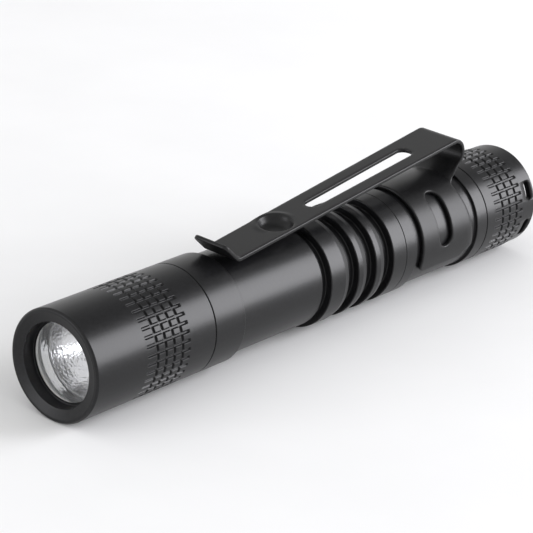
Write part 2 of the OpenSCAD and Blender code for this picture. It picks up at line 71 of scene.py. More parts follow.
def to_world(s, side, height):
    """Station, sideways and height above the axis, as points in metres."""
    return np.stack([LENGTH / 2 - s, side, STOCK_R + height], axis=-1) * MM


def rounded(corners, closed=True):
    """Outline with its corners rounded. A corner is (station, radius, rounding)."""
    points = [np.array(c[:2], float) for c in corners]
    count = len(points)
    out = []
    for i, corner in enumerate(corners):
        here = points[i]
        is_end = not closed and i in (0, count - 1)
        if is_end or corner[2] <= 0:
            out.append(here)
            continue
        before = points[i - 1] - here
        after = points[(i + 1) % count] - here
        reach = ROUNDING_SHARE * min(np.linalg.norm(before), np.linalg.norm(after))
        before = before / np.linalg.norm(before)
        after = after / np.linalg.norm(after)
        half = 0.5 * math.acos(float(np.clip(before @ after, -1, 1)))
        if half > math.pi / 2 - STRAIGHT:
            out.append(here)
            continue
        cut = min(corner[2] / math.tan(half), reach)
        radius = cut * math.tan(half)
        middle = before + after
        centre = here + middle / np.linalg.norm(middle) * radius / math.sin(half)
        first = here + before * cut - centre
        last = here + after * cut - centre
        start = math.atan2(first[1], first[0])
        sweep = (math.atan2(last[1], last[0]) - start + math.pi) % TURN - math.pi
        for k in range(ARC_STEPS + 1):
            a = start + sweep * k / ARC_STEPS
            out.append(centre + radius * np.array([math.cos(a), math.sin(a)]))
    return out


def supported(outline, closed=True, stations=()):
    """Adds points beside the ends of long walls, and at the given stations on the outside."""
    out = []
    count = len(outline)
    for i, here in enumerate(outline):
        out.append(here)
        if not closed and i == count - 1:
            break
        there = outline[(i + 1) % count]
        length = np.linalg.norm(there - here)
        marks = []
        if length > 4 * SUPPORT:
            marks = [SUPPORT / length, 1 - SUPPORT / length]
        if abs(here[1] - STOCK_R) < SAME and abs(there[1] - STOCK_R) < SAME:
            for station in stations:
                mark = (station - here[0]) / (there[0] - here[0])
                if END_SHARE < mark < 1 - END_SHARE:
                    marks.append(mark)
        for mark in sorted(marks):
            out.append(here + (there - here) * mark)
    return out


def add_object(name, data):
    """A new object in the scene."""
    item = bpy.data.objects.new(name, data)
    bpy.context.scene.collection.objects.link(item)
    return item


def mesh_object(name, verts, faces):
    """A smooth mesh whose faces all look outwards."""
    mesh = bpy.data.meshes.new(name)
    mesh.from_pydata(verts, [], faces)
    work = bmesh.new()
    work.from_mesh(mesh)
    bmesh.ops.recalc_face_normals(work, faces=work.faces)
    work.to_mesh(mesh)
    work.free()
    mesh.shade_smooth()
    return add_object(name, mesh)


def even_turn(steps):
    """Angles round the axis in equal steps."""
    return np.arange(steps) * TURN / steps


def lathe(name, outline, angle, cut=None, closed=True):
    """Turns an outline round the axis. cut(s, angle, r) is how much is taken off the radius."""
    outline = np.array(outline)
    steps = len(angle)
    s = outline[:, :1] + 0 * angle
    r = outline[:, 1:] + 0 * angle
    turn = angle[None, :] + 0 * s
    if cut is not None:
        r = r - cut(s, turn, r)
    verts = to_world(s, r * np.sin(turn), r * np.cos(turn)).reshape(-1, 3).tolist()
    rows = len(outline)
    faces = []
    for i in range(rows if closed else rows - 1):
        j = (i + 1) % rows
        for k in range(steps):
            m = (k + 1) % steps
            faces.append((i * steps + k, i * steps + m, j * steps + m, j * steps + k))
    if not closed:
        for row in (0, rows - 1):
            verts.append(to_world(outline[row, 0], 0.0, 0.0).tolist())
            hub = len(verts) - 1
            for k in range(steps):
                faces.append((hub, row * steps + k, row * steps + (k + 1) % steps))
    return mesh_object(name, verts, faces)


# Knurling: crossed grooves with steep walls, as deep as in the solids. Only the skin of the stock is cut.
KNURL_DEPTH = 0.25
KNURL_HALF_W = 0.25
KNURL_WALL = 0.15
KNURL_FADE = 0.16
KNURL_SKIN = 0.01
# Where its surface is sampled: distances from a groove's middle, the step on the pads between grooves and how far it
# stays from the rings, and the shares of the fade at both ends
GROOVE_STEPS = np.array([0, 0.06, 0.1, 0.13, 0.16, 0.19, 0.22, 0.25, 0.29])
PAD_STEP = 0.16
PAD_AFTER_RING = 0.5
PAD_BEFORE_RING = 0.45
FADE_SHARES = np.linspace(-0.5, 1.5, 7)


def soft(t):
    """Goes from 0 to 1 with an easy start and end."""
    t = np.clip(t, 0, 1)
    return t * t * (3 - 2 * t)


def knurl(start, end, rings, columns):
    """Cut for lathe: ring grooves at the given stations, crossed by columns of grooves along the axis."""
    pitch = TURN / columns

    def cut(s, turn, r):
        across = np.abs((turn / pitch + 0.5) % 1 - 0.5) * pitch * STOCK_R
        within = soft((s - start) / KNURL_FADE) * soft((end - s) / KNURL_FADE)
        depth = soft((KNURL_HALF_W - across) / KNURL_WALL) * within
        for ring in rings:
            depth = np.maximum(depth, soft((KNURL_HALF_W - np.abs(s - ring)) / KNURL_WALL))
        return np.where(r > STOCK_R - KNURL_SKIN, KNURL_DEPTH * depth, 0)

    return cut


def knurl_stations(start, end, rings):
    """Stations close together across every ring and at both ends."""
    beside = np.concatenate([-GROOVE_STEPS[::-1], GROOVE_STEPS[1:]])
    marks = [ring + beside for ring in rings]
    marks += [start + KNURL_FADE * FADE_SHARES, end - KNURL_FADE * FADE_SHARES]
    edges = [start, *rings, end]
    for low, high in zip(edges, edges[1:]):
        marks.append(np.arange(low + PAD_AFTER_RING, high - PAD_BEFORE_RING, PAD_STEP))
    return np.concatenate(marks)


def knurl_turn(columns):
    """Angles round the axis, close together across every groove."""
    pitch = TURN / columns * STOCK_R
    groove_end = GROOVE_STEPS[-1]
    pad = np.arange(groove_end + PAD_STEP, pitch - groove_end - PAD_STEP / 2, PAD_STEP)
    across = np.concatenate([GROOVE_STEPS, pad, pitch - GROOVE_STEPS[:0:-1]])
    return np.concatenate([(across + i * pitch) / STOCK_R for i in range(columns)])


# Spigots: places along them count from the shoulder
SPIGOT_LENGTH = 5.3
O_RING_GROOVE = (0.6, 1.7)
O_RING_FLOOR_R = 5.72
THREAD_START = 2.0
THREAD_TURNS = 4
THREAD_PITCH = 0.75
THREAD_ROOT_R = 5.88
THREAD_LEAD = 0.05
RIDGE = ((0, THREAD_ROOT_R), (0.25, THREAD_ROOT_R), (0.5, SPIGOT_R), (0.75, SPIGOT_R))


def spigot(shoulder, way):
    """Outline from the shoulder to the free end of a spigot that points towards the tail (1) or the head (-1)."""
    groove_start, groove_end = O_RING_GROOVE
    out = [
        (0.0, SPIGOT_R, 0), (groove_start, SPIGOT_R, 0.05), (groove_start, O_RING_FLOOR_R, 0.05),
        (groove_end, O_RING_FLOOR_R, 0.05), (groove_end, SPIGOT_R, 0.05),
        (THREAD_START - THREAD_LEAD, SPIGOT_R, 0.05),
    ]
    for i in range(THREAD_TURNS):
        for step, r in RIDGE:
            out.append((THREAD_START + (i + step) * THREAD_PITCH, r, 0.04))
    out += [
        (THREAD_START + THREAD_TURNS * THREAD_PITCH, THREAD_ROOT_R, 0.04),
        (SPIGOT_LENGTH, THREAD_ROOT_R, 0.1), (SPIGOT_LENGTH, BORE_R, 0),
    ]
    return [(shoulder + way * d, r, rounding) for d, r, rounding in out]


# Head, with the bezel's bevel and well in front of the window's flange, and the lens and reflector behind it
HEAD_END = 20.9
RIM_CHAMFER = 0.22
LIP_IN_R = 6.72
BEVEL_DEPTH = 0.35
WELL_R = 5.45
WINDOW_R = 5.05
FLANGE = (2.0, 2.3)
SEAT_R = 6.146
SEAT_END = 9.3
HEAD_KNURL = (8.65, 16.28)
HEAD_RINGS = (10.45, 11.92, 13.39, 14.86)
HEAD_COLUMNS = 40
head_outline = rounded([
    (0, LIP_IN_R, 0.08), (0, STOCK_R - RIM_CHAMFER, 0.12), (RIM_CHAMFER, STOCK_R, 0.2),
    (HEAD_END - SEAM_BREAK, STOCK_R, 0.03), (HEAD_END, STOCK_R - SEAM_BREAK, 0.02), (HEAD_END, SOCKET_R, 0.03),
    (SEAT_END, SOCKET_R, 0), (SEAT_END, SEAT_R, 0), (FLANGE[1], SEAT_R, 0),
    (FLANGE[1], WINDOW_R + FLANGE[1] - FLANGE[0], 0.02), (FLANGE[0], WINDOW_R, 0.02),
    (FLANGE[0], WELL_R, 0.1), (BEVEL_DEPTH, WELL_R, 0.08),
])
head = lathe(
    "head_shell_turned", supported(head_outline, stations=knurl_stations(*HEAD_KNURL, HEAD_RINGS)),
    knurl_turn(HEAD_COLUMNS), knurl(*HEAD_KNURL, HEAD_RINGS, HEAD_COLUMNS),
)

# Tube: collar, plain grip and grip rings. A ring is (start, end of its flat, end).
BODY_TURN = even_turn(240)
CORE_TURN = even_turn(120)
BODY_FRONT = 21.02
COLLAR_END = 26.6
COLLAR_CHAMFER = 0.22
GRIP_R = 6.7
GRIP_END = 42.3
GRIP_CHAMFER = 0.15
GROOVE_R = 6.25
RING_LOW_R = 7.05
GRIP_RINGS = ((43.4, 46.25, 47.2), (49.0, 49.95, 50.9), (52.7, 53.65, 54.6))
WIDE_RING = 56.4
BODY_END = 59.18
TONGUE_R = 6.1
TONGUE_END = 63.19


def grip_ring(start, flat_end, end):
    """Outline of a ring that slopes off towards the tail."""
    return [
        (start, GROOVE_R, 0.12), (start, STOCK_R, 0.14), (flat_end, STOCK_R, 0.5), (end, RING_LOW_R, 0.16),
        (end, GROOVE_R, 0.12),
    ]


body_outline = rounded(
    spigot(BODY_FRONT, -1)[::-1]
    + [
        (BODY_FRONT, STOCK_R - SEAM_BREAK, 0.02), (BODY_FRONT + SEAM_BREAK, STOCK_R, 0.03),
        (COLLAR_END - COLLAR_CHAMFER, STOCK_R, 0.12), (COLLAR_END, STOCK_R - COLLAR_CHAMFER, 0.1),
        (COLLAR_END, GRIP_R, 0.1), (GRIP_END - GRIP_CHAMFER, GRIP_R, 0.08),
        (GRIP_END, GRIP_R - GRIP_CHAMFER, 0.08), (GRIP_END, GROOVE_R, 0.12),
    ]
    + [corner for ring in GRIP_RINGS for corner in grip_ring(*ring)]
    + [
        (WIDE_RING, GROOVE_R, 0.12), (WIDE_RING, STOCK_R, 0.14), (BODY_END - SEAM_BREAK, STOCK_R, 0.03),
        (BODY_END, STOCK_R - SEAM_BREAK, 0.02), (BODY_END, TONGUE_R, 0), (TONGUE_END, TONGUE_R, 0),
        (TONGUE_END, BORE_R, 0),
    ]
)
body = lathe("body_tube_turned", supported(body_outline), BODY_TURN)

# Rear sleeve, with the clip's groove
SLEEVE_FRONT = 59.22
SLEEVE_END = 77.38
SLEEVE_BORE_R = 6.12
SLEEVE_BORE_END = 63.22
CLIP_GROOVE = (61.5, 75.1)
CLIP_GROOVE_R = 6.9
sleeve_outline = rounded(
    [
        (SLEEVE_FRONT, SLEEVE_BORE_R, 0), (SLEEVE_FRONT, STOCK_R - SEAM_BREAK, 0.02),
        (SLEEVE_FRONT + SEAM_BREAK, STOCK_R, 0.03), (CLIP_GROOVE[0], STOCK_R, 0.12),
        (CLIP_GROOVE[0], CLIP_GROOVE_R, 0.06), (CLIP_GROOVE[1], CLIP_GROOVE_R, 0.06),
        (CLIP_GROOVE[1], STOCK_R, 0.12), (SLEEVE_END - SEAM_BREAK, STOCK_R, 0.03),
        (SLEEVE_END, STOCK_R - SEAM_BREAK, 0.02),
    ]
    + spigot(SLEEVE_END, 1) + [(SLEEVE_BORE_END, BORE_R, 0), (SLEEVE_BORE_END, SLEEVE_BORE_R, 0)]
)
sleeve = lathe("rear_sleeve_turned", supported(sleeve_outline), BODY_TURN)

# Tail cap, with a skirt round the button
TAIL_FRONT = 77.5
SKIRT_START = 85.9
SKIRT_R = 7.15
SKIRT_CHAMFER = 0.22
TAIL_WALL = (85.0, 86.2)
BUTTON_HOLE_R = 4.05
TAIL_KNURL = (79.34, 85.8)
TAIL_RINGS = (81.14, 82.76, 84.38)
TAIL_COLUMNS = 38
tail_outline = rounded([
    (TAIL_FRONT, SOCKET_R, 0), (TAIL_FRONT, STOCK_R - SEAM_BREAK, 0.02), (TAIL_FRONT + SEAM_BREAK, STOCK_R, 0.03),
    (SKIRT_START, STOCK_R, 0.05), (SKIRT_START, SKIRT_R, 0.04), (LENGTH - SKIRT_CHAMFER, SKIRT_R, 0.16),
    (LENGTH, SKIRT_R - SKIRT_CHAMFER, 0.12), (LENGTH, SOCKET_R + SKIRT_CHAMFER, 0.1),
    (LENGTH - SKIRT_CHAMFER, SOCKET_R, 0.12), (TAIL_WALL[1], SOCKET_R, 0.1), (TAIL_WALL[1], BUTTON_HOLE_R, 0.08),
    (TAIL_WALL[0], BUTTON_HOLE_R, 0.03), (TAIL_WALL[0], SOCKET_R, 0.03),
])
tail = lathe(
    "tail_cap_turned", supported(tail_outline, stations=knurl_stations(*TAIL_KNURL, TAIL_RINGS)),
    knurl_turn(TAIL_COLUMNS), knurl(*TAIL_KNURL, TAIL_RINGS, TAIL_COLUMNS),
)

# Two lanyard slots through the skirt, with a small flare at the outside. A row of the cutter is (radius, growth).
SLOT_STATION = 87.55
SLOT_ANGLES = (67, 113)
SLOT_LENGTH = 2.9
SLOT_W = 1.2
SLOT_FLARE = 0.12
SLOT_ROWS = ((5.2, 0), (6.98, 0), (7.12, SLOT_FLARE / 2), (7.5, 2 * SLOT_FLARE))
SLOT_END_STEPS = 14


def slot_outline(length, width):
    """Outline of a slot with round ends, as points along and across it."""
    out = []
    for end in (1, -1):
        for k in range(SLOT_END_STEPS + 1):
            a = end * math.pi / 2 - math.pi * k / SLOT_END_STEPS
            out.append((end * (length - width) / 2 + width / 2 * math.cos(a), width / 2 * math.sin(a)))
    return out


def slot_cutter(turn):
    """A solid to be taken out of the skirt at one angle round the axis."""
    verts, rows = [], []
    for radius, grow in SLOT_ROWS:
        row = []
        for across, along in slot_outline(SLOT_LENGTH + 2 * grow, SLOT_W + 2 * grow):
            side = across * math.cos(turn) + radius * math.sin(turn)
            height = radius * math.cos(turn) - across * math.sin(turn)
            row.append(len(verts))
            verts.append(to_world(SLOT_STATION + along, side, height).tolist())
        rows.append(row)
    count = len(rows[0])
    faces = [rows[0][::-1], rows[-1]]
    for low, high in zip(rows, rows[1:]):
        for k in range(count):
            m = (k + 1) % count
            faces.append((low[k], low[m], high[m], high[k]))
    return mesh_object("slot_cutter", verts, faces)


for degrees in SLOT_ANGLES:
    cutter = slot_cutter(math.radians(degrees))
    modifier = tail.modifiers.new("slot", "BOOLEAN")
    modifier.operation = "DIFFERENCE"
    modifier.solver = "EXACT"
    modifier.object = cutter
    bpy.context.view_layer.update()
    cut_mesh = bpy.data.meshes.new_from_object(tail.evaluated_get(bpy.context.evaluated_depsgraph_get()))
    tail.modifiers.clear()
    tail.data = cut_mesh
    bpy.data.objects.remove(cutter)

# Lens
LENS = (2.6, 3.6)
LENS_R = 6.1
LENS_CHAMFER = 0.12
lens = lathe(
    "lens_disc", supported(rounded([
        (LENS[0], HUB_R, 0), (LENS[0], LENS_R - LENS_CHAMFER, 0.05), (LENS[0] + LENS_CHAMFER, LENS_R, 0.05),
        (LENS[1] - LENS_CHAMFER, LENS_R, 0.05), (LENS[1], LENS_R - LENS_CHAMFER, 0.05), (LENS[1], HUB_R, 0),
    ], closed=False), closed=False), CORE_TURN, closed=False,
)

# Reflector: a short cone at its mouth, then a steep wall down to a flat floor round the emitter
REFLECTOR_FRONT = 3.62
REFLECTOR_MOUTH_R = 5.95
REFLECTOR_RIM_R = 5.25
REFLECTOR_HOLE_R = 1.85
REFLECTOR_FLOOR_R = 2.75
REFLECTOR_DEEP = 4.68
REFLECTOR_CURVE = 1.25
REFLECTOR_OUT_R = 6.1
REFLECTOR_RIM_END = 5.0
REFLECTOR_BACK_R = (5.6, 4.05)
MOUTH_DEPTH = 0.7
MOUTH_ROWS = 12
REFLECTOR_ROWS = 110
REFLECTOR_TURN = even_turn(320)
# Orange peel, left off the first and last rows of the cup
PEEL_CELL = 0.27
PEEL_DEPTH = 0.034
PEEL_MARGIN = 2
cup = []
for i in range(MOUTH_ROWS):
    part = i / MOUTH_ROWS
    r = REFLECTOR_MOUTH_R + (REFLECTOR_RIM_R - REFLECTOR_MOUTH_R) * part
    cup.append(np.array([REFLECTOR_FRONT + MOUTH_DEPTH * part, r]))
for i in range(REFLECTOR_ROWS + 1):
    r = REFLECTOR_RIM_R + (REFLECTOR_HOLE_R - REFLECTOR_RIM_R) * i / REFLECTOR_ROWS
    rise = max(0.0, r - REFLECTOR_FLOOR_R) / (REFLECTOR_RIM_R - REFLECTOR_FLOOR_R)
    cup.append(np.array([REFLECTOR_FRONT + MOUTH_DEPTH + REFLECTOR_DEEP * (1 - rise ** REFLECTOR_CURVE), r]))
back = rounded([
    (SEAT_END, REFLECTOR_HOLE_R, 0), (SEAT_END, REFLECTOR_BACK_R[1], 0.05),
    (REFLECTOR_RIM_END, REFLECTOR_BACK_R[0], 0.1), (REFLECTOR_RIM_END, REFLECTOR_OUT_R, 0.05),
    (REFLECTOR_FRONT, REFLECTOR_OUT_R, 0.05),
], closed=False)


def peel(s, turn, r):
    """Fine dimples pressed into the inside of the cup."""
    out = np.zeros_like(r)
    for i in range(PEEL_MARGIN, MOUTH_ROWS + REFLECTOR_ROWS - PEEL_MARGIN):
        for k in range(r.shape[1]):
            side = r[i, k] * math.sin(turn[i, k])
            height = r[i, k] * math.cos(turn[i, k])
            at = Vector((s[i, k], side, height)) / PEEL_CELL
            out[i, k] = PEEL_DEPTH * (noise.voronoi(at)[0][0] - 0.5)
    return out


reflector = lathe("reflector_cup", cup + back, REFLECTOR_TURN, peel)

# Button, with a shallow dish in its top: (radius, depth) where the dish starts, turns and ends
BUTTON_START = 84.15
BUTTON_FLANGE_END = 84.95
BUTTON_FLANGE_R = 4.35
BUTTON_R = 4.0
BUTTON_TOP = 88.2
BUTTON_EDGE = 0.5
DISH = ((2.9, 0.0), (2.5, 0.14), (HUB_R, 0.2))
button_cap = lathe(
    "tail_button_cap", supported(rounded([
        (BUTTON_START, HUB_R, 0), (BUTTON_START, BUTTON_FLANGE_R, 0.05), (BUTTON_FLANGE_END, BUTTON_FLANGE_R, 0.08),
        (BUTTON_FLANGE_END, BUTTON_R, 0.05), (BUTTON_TOP - BUTTON_EDGE, BUTTON_R, 0.3),
        (BUTTON_TOP, BUTTON_R - BUTTON_EDGE, 0.3), (BUTTON_TOP - DISH[0][1], DISH[0][0], 0.2),
        (BUTTON_TOP - DISH[1][1], DISH[1][0], 0.3), (BUTTON_TOP - DISH[2][1], DISH[2][0], 0),
    ], closed=False), closed=False), CORE_TURN, closed=False,
)

# Clip: one bent sheet. Its flat pattern has u along the strip from the band's front edge and v across it.
CLIP_T = 0.55
EDGE_R = 0.17
EDGE_TURNS = (60, 30, 0)
BAND_START = 62.65
BAND_W = 10.0
BAND_MID_R = 7.215
BAND_HALF_ANGLE = 114
BAND_CORNER = 1.3
BAND_SLOT_AT = 59.5
BAND_SLOT_LENGTH = 7.9
BAND_SLOT_W = 2.9
# Places on the strip's centre line are (station, height above the axis)
KINK = np.array([72.8, BAND_MID_R])
KINK_R = 1.0
BEND = np.array([73.7, 10.27])
BEND_R = 1.975
TIP = np.array([29.0, 7.236])
TIP_LEAN = 1.02
FLICK_R = 1.2
FLICK_ANGLE = math.radians(48)
FLICK_LENGTH = 3.15
ARM_HALF_W = 3.25
TIP_HALF_W = 2.8
TONGUE_FILLET = 0.8
TAPER_ROUNDING = 4.0
TIP_CORNER = 0.8
ARM_SLOT = (45.3, 67.0)
ARM_SLOT_W = 2.1
ARM_SLOT_TAPER = (1.09, 0.92)
# Pressed hollow in the arm, and the low ridge round its far side. The ridge has this share of its height in the arm's
# middle, and gains or loses this share with every millimetre across the arm.
DIMPLE_FROM_TIP = 9.9
DIMPLE_R = 2.35
DIMPLE_DEPTH = 1.03
DIMPLE_POWER = 6.0
DIMPLE_BLEND = 0.12
DIMPLE_LIP = 0.12
DIMPLE_LIP_AT = 2.7
DIMPLE_LIP_W = 0.42
LIP_MIDDLE = 0.4
LIP_SLOPE = -0.5
# How finely the sheet is drawn: along its centre line, round its edges, and on its face as steps along and across
LINE_STEP = 0.02
OUTLINE_STEP = 0.16
SLOT_STEP = 0.2
SHORTEST_STEP = 0.02
BAND_STEPS = (0.4, 0.3)
BEND_STEPS = (0.13, 0.4)
ARM_STEPS = (0.5, 0.4)
FLICK_STEPS = (0.12, 0.4)
DIMPLE_STEPS = (0.13, 0.13)
DIMPLE_ZONE = (3.6, 3.5)
ZONE_GAP = 0.1
EDGE_CLEAR = 0.1
FLATTEST_BOW = 1e-5
NEAREST_PARTS = 20
CDT_EPSILON = 1e-6
LEVEL_RISE = 1e-9

to_bend = BEND - KINK
kink_angle = math.atan2(to_bend[1], to_bend[0]) - math.asin(BEND_R / np.linalg.norm(to_bend))
tip_to_bend = BEND - TIP
arm_angle = math.atan2(tip_to_bend[1], tip_to_bend[0]) + math.asin(BEND_R / np.linalg.norm(tip_to_bend))
kink_cut = KINK_R * math.tan(kink_angle / 2)

# Lengths and turns of the strip's centre line, in order from the band's front edge
line_parts = [
    (KINK[0] - kink_cut - BAND_START, 0.0),
    (KINK_R * kink_angle, kink_angle),
    (math.sqrt(to_bend @ to_bend - BEND_R ** 2) - kink_cut, 0.0),
    (BEND_R * (math.pi + arm_angle - kink_angle), math.pi + arm_angle - kink_angle),
    (math.sqrt(tip_to_bend @ tip_to_bend - BEND_R ** 2), 0.0),
    (FLICK_R * FLICK_ANGLE, -FLICK_ANGLE),
    (FLICK_LENGTH, 0.0),
]
line_u, line_point, line_angle = [0.0], [np.array([BAND_START, BAND_MID_R])], [0.0]
part_ends = []
for length, sweep in line_parts:
    steps = max(1, int(round(length / LINE_STEP)))
    for _ in range(steps):
        middle = line_angle[-1] + sweep / steps / 2
        line_point.append(line_point[-1] + length / steps * np.array([math.cos(middle), math.sin(middle)]))
        line_angle.append(line_angle[-1] + sweep / steps)
        line_u.append(line_u[-1] + length / steps)
    part_ends.append(line_u[-1])
line_u, line_point, line_angle = np.array(line_u), np.array(line_point), np.array(line_angle)
u_bend_start, u_bend_end, u_tip = part_ends[2:5]
u_end = part_ends[-1]
u_dimple = u_tip - DIMPLE_FROM_TIP
arm_front = line_point[np.searchsorted(line_u, u_bend_end)][0]


def arm_u(station):
    """Place along the flat pattern of a station on the arm."""
    return u_bend_end + (arm_front - station) / math.cos(arm_angle)


def dimple(along, across):
    """Depth of the pressed hollow beside its middle, with a low ridge on its far side."""
    away = np.hypot(along, across)
    far_side = np.clip(LIP_MIDDLE + LIP_SLOPE * across, 0, 1)
    hollow = DIMPLE_DEPTH * (1 - np.minimum(away / DIMPLE_R, 2) ** DIMPLE_POWER)
    hollow = 0.5 * (hollow + np.sqrt(hollow ** 2 + DIMPLE_BLEND ** 2)) * (away < 2 * DIMPLE_R)
    return hollow - DIMPLE_LIP * far_side * np.exp(-((away - DIMPLE_LIP_AT) / DIMPLE_LIP_W) ** 2)


def sheet_point(u, v, h):
    """A point of the flat pattern, h above its middle, on the bent clip."""
    u, v, h = np.broadcast_arrays(np.asarray(u, float), v, h)
    s = np.interp(u, line_u, line_point[:, 0])
    z = np.interp(u, line_u, line_point[:, 1])
    a = np.interp(u, line_u, line_angle)
    flat = soft((u - BAND_W) / (u_bend_start - BAND_W))
    bow = np.maximum((1 - flat) / BAND_MID_R, FLATTEST_BOW)
    side = np.sin(bow * v) / bow
    drop = (1 - np.cos(bow * v)) / bow
    lean = np.where(u > u_bend_end, np.maximum(TIP_LEAN * (BEND[0] - s) / (BEND[0] - TIP[0]), 0), 0)
    up = h * np.cos(bow * v) - drop + dimple(u - u_dimple, v)
    return to_world(s - np.sin(a) * up, side + lean + h * np.sin(bow * v), z + np.cos(a) * up)


def resampled(loop, step):
    """The loop with points at most a step apart, and none too close."""
    out = []
    for i, here in enumerate(loop):
        there = loop[(i + 1) % len(loop)]
        pieces = max(1, int(math.ceil(np.linalg.norm(there - here) / step)))
        for k in range(pieces):
            out.append(here + (there - here) * k / pieces)
    kept = [out[0]]
    for point in out[1:]:
        if np.linalg.norm(point - kept[-1]) > SHORTEST_STEP:
            kept.append(point)
    return np.array(kept)


def slot_loop(u, v, length, width, along_u):
    """Loop of a slot in the flat pattern, going round so that the sheet lies on its left."""
    points = [np.array(p) for p in slot_outline(length, width)]
    if not along_u:
        points = [np.array([-p[1], p[0]]) for p in points]
    loop = np.array(points) + np.array([u, v])
    area = np.sum(loop[:, 0] * np.roll(loop[:, 1], -1) - loop[:, 1] * np.roll(loop[:, 0], -1))
    return resampled(list(loop if area < 0 else loop[::-1]), SLOT_STEP)


band_v = BAND_MID_R * math.radians(BAND_HALF_ANGLE)
half_outline = [
    (0.0, band_v, BAND_CORNER), (BAND_W, band_v, BAND_CORNER), (BAND_W, ARM_HALF_W, TONGUE_FILLET),
    (u_bend_end, ARM_HALF_W, TAPER_ROUNDING), (u_tip, TIP_HALF_W, TAPER_ROUNDING), (u_end, TIP_HALF_W, TIP_CORNER),
]
sheet_outline = [(u, -v, r) for u, v, r in half_outline] + half_outline[::-1]
slot_v = BAND_MID_R * math.radians(BAND_SLOT_AT)
slot_ends = [arm_u(ARM_SLOT[1]), arm_u(ARM_SLOT[0])]
arm_slot = slot_loop(sum(slot_ends) / 2, 0, slot_ends[1] - slot_ends[0], ARM_SLOT_W, True)
arm_slot[:, 1] *= np.interp(arm_slot[:, 0], slot_ends, ARM_SLOT_TAPER)
loops = [
    resampled(rounded(sheet_outline), OUTLINE_STEP),
    slot_loop(BAND_W / 2, slot_v, BAND_SLOT_LENGTH, BAND_SLOT_W, False),
    slot_loop(BAND_W / 2, -slot_v, BAND_SLOT_LENGTH, BAND_SLOT_W, False),
    arm_slot,
]


def inward(loop):
    """Unit directions into the sheet, which lies on the left of every loop."""
    along = np.roll(loop, -1, axis=0) - np.roll(loop, 1, axis=0)
    along /= np.linalg.norm(along, axis=1)[:, None]
    return np.stack([-along[:, 1], along[:, 0]], axis=1)


def inside(points, loop):
    """Which points lie inside a loop."""
    x, y = points[:, :1], points[:, 1:]
    x0, y0 = loop[:, 0][None], loop[:, 1][None]
    x1, y1 = np.roll(loop[:, 0], -1)[None], np.roll(loop[:, 1], -1)[None]
    crosses = (y0 > y) != (y1 > y)
    rise = np.where(y1 == y0, LEVEL_RISE, y1 - y0)
    return (np.sum(crosses & (x < (x1 - x0) * (y - y0) / rise + x0), axis=1) % 2) == 1


def in_sheet(points, edges):
    """Which points lie inside the outline and outside its slots."""
    hit = inside(points, edges[0])
    for hole in edges[1:]:
        hit &= ~inside(points, hole)
    return hit


def grid(u0, u1, v1, steps):
    """Points of the flat pattern from u0 to u1, and v1 to both sides."""
    du, dv = steps
    u, v = np.meshgrid(np.arange(u0, u1, du), np.arange(-v1, v1 + dv / 2, dv))
    return np.stack([u.ravel(), v.ravel()], axis=1)


# The sheet's face: a mesh of the flat pattern, inside the rounding of its edges and finer where it bends
inner_loops = [loop + EDGE_R * inward(loop) for loop in loops]
zone_half, zone_half_w = DIMPLE_ZONE
points = np.concatenate([
    grid(0, BAND_W, band_v, BAND_STEPS),
    grid(BAND_W, u_bend_end, ARM_HALF_W, BEND_STEPS),
    grid(u_bend_end, u_dimple - zone_half - ZONE_GAP, ARM_HALF_W, ARM_STEPS),
    grid(u_dimple - zone_half, u_dimple + zone_half, zone_half_w, DIMPLE_STEPS),
    grid(u_dimple + zone_half + ZONE_GAP, u_tip, ARM_HALF_W, ARM_STEPS),
    grid(u_tip, u_end, ARM_HALF_W, FLICK_STEPS),
])
edge_points = np.concatenate(inner_loops)
nearest = np.concatenate([
    np.min(np.linalg.norm(part[:, None] - edge_points[None], axis=2), axis=1)
    for part in np.array_split(points, NEAREST_PARTS)
])
points = points[(nearest > EDGE_CLEAR) & in_sheet(points, inner_loops)]
flat_points = np.concatenate([edge_points, points])
links, first = [], 0
for loop in inner_loops:
    links += [(first + i, first + (i + 1) % len(loop)) for i in range(len(loop))]
    first += len(loop)
cdt = delaunay_2d_cdt([Vector(p) for p in flat_points], links, [], 0, CDT_EPSILON)
flat_verts = np.array([tuple(p) for p in cdt[0]])
triangles = np.array([f for f in cdt[2] if len(f) == 3])
triangles = triangles[in_sheet(flat_verts[triangles].mean(axis=1), inner_loops)].tolist()
origin = {old: new for new, olds in enumerate(cdt[3]) for old in olds}

# Both faces of the sheet, and the rounded edge between them along every loop
u, v = flat_verts[:, 0], flat_verts[:, 1]
clip_verts = sheet_point(u, v, CLIP_T / 2).tolist() + sheet_point(u, v, -CLIP_T / 2).tolist()
under = len(flat_verts)
clip_faces = [tuple(t) for t in triangles] + [tuple(i + under for i in t) for t in triangles]
rim = [
    (EDGE_R * (1 - math.cos(a)), CLIP_T / 2 - EDGE_R + EDGE_R * math.sin(a)) for a in map(math.radians, EDGE_TURNS)
]
rim += [(depth, -height) for depth, height in rim[::-1]]
first = 0
for loop in loops:
    count = len(loop)
    into = inward(loop)
    rows = [[origin[first + i] for i in range(count)]]
    for depth, height in rim:
        at = loop + depth * into
        rows.append(list(range(len(clip_verts), len(clip_verts) + count)))
        clip_verts += sheet_point(at[:, 0], at[:, 1], height).tolist()
    rows.append([origin[first + i] + under for i in range(count)])
    for upper, lower in zip(rows, rows[1:]):
        for i in range(count):
            j = (i + 1) % count
            clip_faces.append((upper[i], upper[j], lower[j], lower[i]))
    first += count
clip = mesh_object("clip_sheet", clip_verts, clip_faces)

